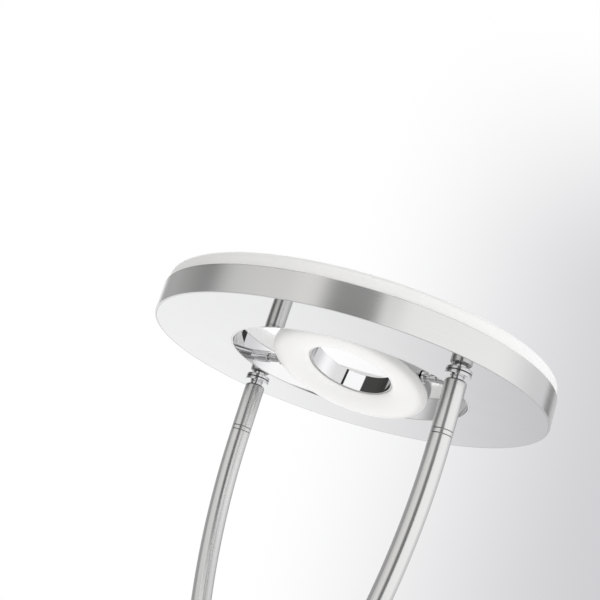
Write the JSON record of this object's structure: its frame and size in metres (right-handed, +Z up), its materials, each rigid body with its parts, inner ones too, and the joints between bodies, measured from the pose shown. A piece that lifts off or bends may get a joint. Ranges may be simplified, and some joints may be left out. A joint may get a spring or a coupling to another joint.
{
  "type": "torchiere floor lamp",
  "caption": "Two-pole LED torchiere floor lamp with a flat ring-shaped uplight head, a tilting ring-shaped reading light in its opening, and a weighted round base.",
  "frame": {"origin": "on the floor under the middle of the lamp, the centre of its bounding box at its lowest face", "axes": "+Z up, +X from the left pole to the right pole, -Y towards the side with the dimmer knobs"},
  "size_m": [0.31, 0.31, 1.8],
  "materials": {
    "satin_nickel": "nickel plate brushed along the tubes and around the rim, satin",
    "polished_chrome": "mirror-polished nickel-chrome plate",
    "opal_acrylic": "white opal acrylic, moulded, satin gloss",
    "aluminium_sheet": "mill-finish sheet",
    "zinc_plated_steel": "bright zinc plate",
    "circuit_board": "white solder mask",
    "cast_iron": "as cast, black primer",
    "black_plastic": "moulded, fine texture",
    "black_rubber": "moulded, matt"
  },
  "bodies": {
    "root": {"head_rim": "satin_nickel", "pole_sleeve_left": "satin_nickel", "pole_sleeve_right": "satin_nickel", "head_coupling_left": "satin_nickel", "head_coupling_right": "satin_nickel", "upper_tube_left": "satin_nickel", "upper_tube_right": "satin_nickel", "upper_coupling_left": "satin_nickel", "upper_coupling_right": "satin_nickel", "middle_tube_left": "satin_nickel", "middle_tube_right": "satin_nickel", "lower_coupling_left": "satin_nickel", "lower_coupling_right": "satin_nickel", "lower_tube_left": "satin_nickel", "lower_tube_right": "satin_nickel", "base_cover": "satin_nickel", "control_front": "satin_nickel", "control_back": "satin_nickel", "underside_plate": "polished_chrome", "opening_liner": "polished_chrome", "neck_left": "polished_chrome", "neck_right": "polished_chrome", "neck_flange_left": "polished_chrome", "neck_flange_right": "polished_chrome", "pole_collar_left": "polished_chrome", "pole_collar_right": "polished_chrome", "pivot_sleeve_left": "polished_chrome", "pivot_sleeve_right": "polished_chrome", "opal_diffuser": "opal_acrylic", "led_carrier": "aluminium_sheet", "carrier_screw_1": "zinc_plated_steel", "carrier_screw_2": "zinc_plated_steel", "carrier_screw_3": "zinc_plated_steel", "neck_nut_left": "zinc_plated_steel", "neck_nut_right": "zinc_plated_steel", "pole_stud_left": "zinc_plated_steel", "pole_stud_right": "zinc_plated_steel", "pole_nut_left": "zinc_plated_steel", "pole_nut_right": "zinc_plated_steel", "uplight_led_board": "circuit_board", "driver_board": "circuit_board", "base_ballast": "cast_iron", "driver_hatch": "black_plastic", "driver_case": "black_plastic", "uplight_dimmer": "black_plastic", "reading_dimmer": "black_plastic", "supply_lead_left": "black_plastic", "supply_lead_right": "black_plastic", "foot_ring": "black_rubber", "cable_grommet": "black_rubber"},
    "reading_light": {"reading_housing": "polished_chrome", "reading_liner": "polished_chrome", "reading_led_board": "circuit_board", "reading_diffuser": "opal_acrylic", "pivot_pin_left": "polished_chrome", "pivot_pin_right": "polished_chrome", "pivot_nut_left": "zinc_plated_steel", "pivot_nut_right": "zinc_plated_steel"},
    "uplight_knob": {"uplight_knob": "polished_chrome"},
    "reading_knob": {"reading_knob": "polished_chrome"}
  },
  "joints": [
    {"name": "reading_light_tilt", "type": "hinge", "parent": "root", "child": "reading_light", "pos_m": [0, 0, 1.7742], "axis": [-0.9397, -0.342, 0], "range_deg": [-102, 78]},
    {"name": "uplight_dimmer_turn", "type": "hinge", "parent": "root", "child": "uplight_knob", "pos_m": [0, -0.02, 1.11705], "axis": [0, -1, 0], "range_deg": [-150, 150]},
    {"name": "reading_dimmer_turn", "type": "hinge", "parent": "root", "child": "reading_knob", "pos_m": [0, -0.02, 1.08305], "axis": [0, -1, 0], "range_deg": [-150, 150]}
  ]
}
